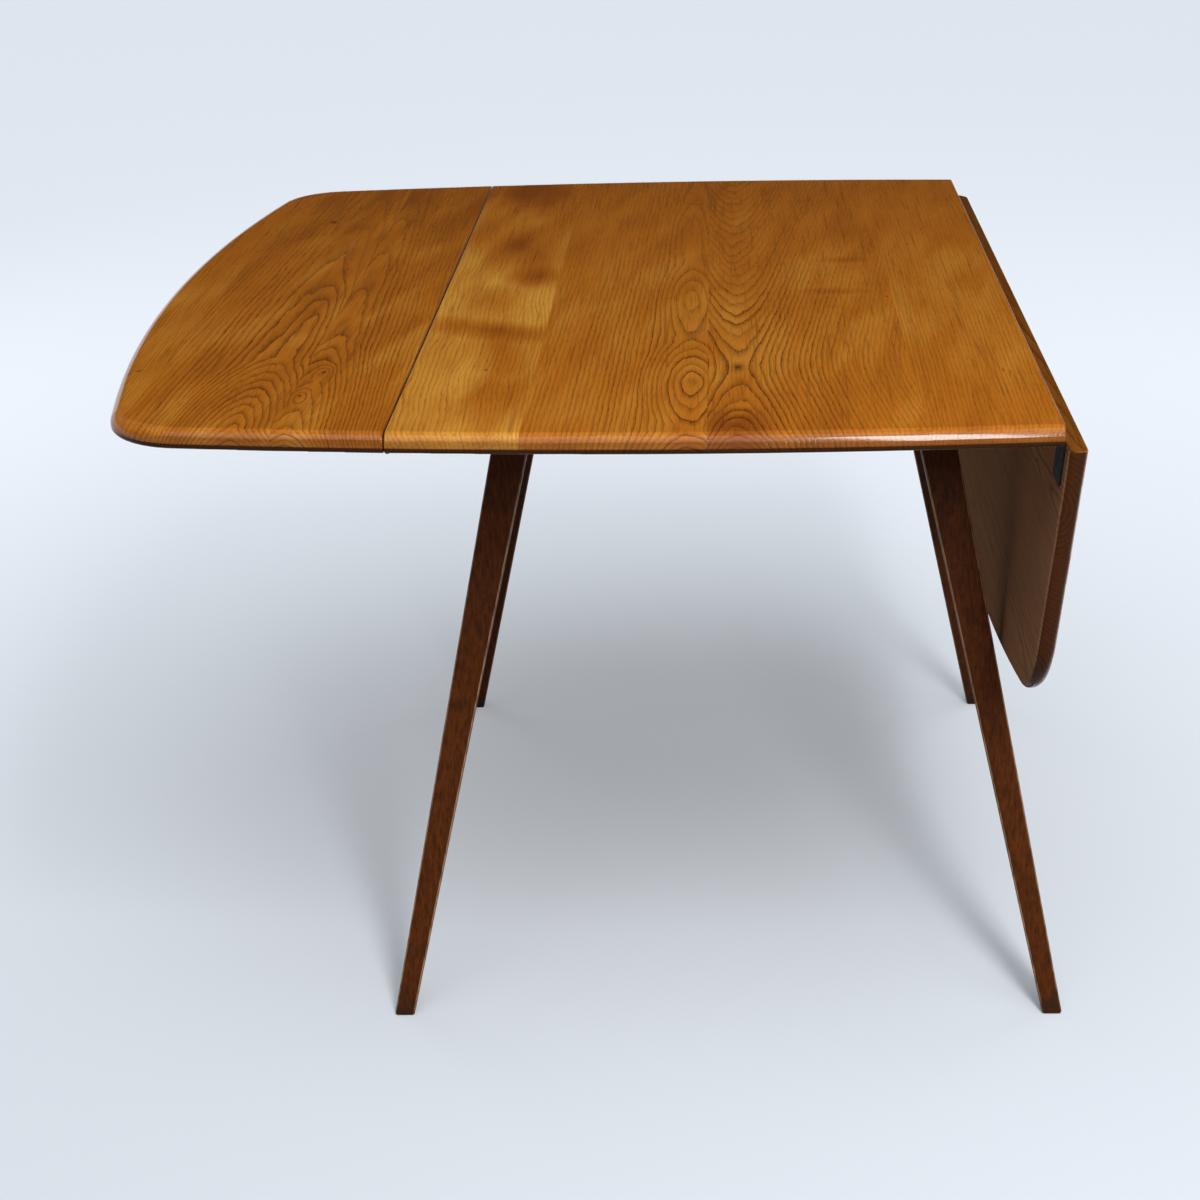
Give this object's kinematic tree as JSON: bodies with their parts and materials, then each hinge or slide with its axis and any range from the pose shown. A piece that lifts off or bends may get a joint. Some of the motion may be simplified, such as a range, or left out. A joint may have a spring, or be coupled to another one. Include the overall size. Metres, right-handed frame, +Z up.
{
  "type": "drop-leaf dining table",
  "caption": "Drop-leaf dining table with a plank top, hinged end leaves on pull-out slides and splayed tapered legs; left leaf raised, right leaf hanging.",
  "frame": {"origin": "on the floor midway between the four feet", "axes": "+X towards the right leaf, +Y from the front edge in the picture to the back, +Z up"},
  "size_m": [0.9945, 1.125, 0.715],
  "materials": {
    "elm_boards": "satin varnished figured elm",
    "stained_legs": "dark-stained beech, satin lacquer",
    "stained_frame": "dark-stained beech, matt",
    "beech_slides": "oiled beech",
    "hinge_steel": "blackened steel",
    "screw_steel": "darkened steel"
  },
  "bodies": {
    "frame": {"back_left_corner_block": "stained_frame", "back_left_leg": "stained_legs", "back_rail": "stained_frame", "back_right_corner_block": "stained_frame", "back_right_leg": "stained_legs", "back_slide_guide": "stained_frame", "centre_board_1": "elm_boards", "centre_board_2": "elm_boards", "centre_board_3": "elm_boards", "centre_board_4": "elm_boards", "centre_hinge_screws": "screw_steel", "frame_screws": "screw_steel", "front_left_corner_block": "stained_frame", "front_left_leg": "stained_legs", "front_rail": "stained_frame", "front_right_corner_block": "stained_frame", "front_right_leg": "stained_legs", "front_slide_guide": "stained_frame", "left_back_hinge_fixed_flap": "hinge_steel", "left_back_hinge_pin": "hinge_steel", "left_front_hinge_fixed_flap": "hinge_steel", "left_front_hinge_pin": "hinge_steel", "left_middle_hinge_fixed_flap": "hinge_steel", "left_middle_hinge_pin": "hinge_steel", "left_rail": "stained_frame", "right_back_hinge_fixed_flap": "hinge_steel", "right_back_hinge_pin": "hinge_steel", "right_front_hinge_fixed_flap": "hinge_steel", "right_front_hinge_pin": "hinge_steel", "right_middle_hinge_fixed_flap": "hinge_steel", "right_middle_hinge_pin": "hinge_steel", "right_rail": "stained_frame"},
    "left_leaf": {"left_back_hinge_leaf_flap": "hinge_steel", "left_front_hinge_leaf_flap": "hinge_steel", "left_leaf_hinge_screws": "screw_steel", "left_leaf_inner_board": "elm_boards", "left_leaf_middle_board": "elm_boards", "left_leaf_outer_board": "elm_boards", "left_middle_hinge_leaf_flap": "hinge_steel"},
    "left_back_slide": {"left_back_slide": "beech_slides", "left_back_slide_peg": "beech_slides"},
    "left_front_slide": {"left_front_slide": "beech_slides", "left_front_slide_peg": "beech_slides"},
    "right_leaf": {"right_back_hinge_leaf_flap": "hinge_steel", "right_front_hinge_leaf_flap": "hinge_steel", "right_leaf_hinge_screws": "screw_steel", "right_leaf_inner_board": "elm_boards", "right_leaf_middle_board": "elm_boards", "right_leaf_outer_board": "elm_boards", "right_middle_hinge_leaf_flap": "hinge_steel"},
    "right_back_slide": {"right_back_slide": "beech_slides", "right_back_slide_peg": "beech_slides"},
    "right_front_slide": {"right_front_slide": "beech_slides", "right_front_slide_peg": "beech_slides"}
  },
  "joints": [
    {"name": "left_leaf_hinge", "type": "hinge", "parent": "frame", "child": "left_leaf", "pos_m": [-0.3115, 0, 0.6927], "axis": [0, 1, 0], "range_deg": [-94.25, 0]},
    {"name": "right_leaf_hinge", "type": "hinge", "parent": "frame", "child": "right_leaf", "pos_m": [0.3115, 0, 0.6927], "axis": [0, -1, 0], "range_deg": [0, 94.25]},
    {"name": "left_front_slide_pull", "type": "slide", "parent": "frame", "child": "left_front_slide", "axis": [-1, 0, 0], "range_m": [0, 0.17]},
    {"name": "left_back_slide_pull", "type": "slide", "parent": "frame", "child": "left_back_slide", "axis": [-1, 0, 0], "range_m": [0, 0.17]},
    {"name": "right_front_slide_pull", "type": "slide", "parent": "frame", "child": "right_front_slide", "axis": [1, 0, 0], "range_m": [0, 0.024]},
    {"name": "right_back_slide_pull", "type": "slide", "parent": "frame", "child": "right_back_slide", "axis": [1, 0, 0], "range_m": [0, 0.024]}
  ]
}
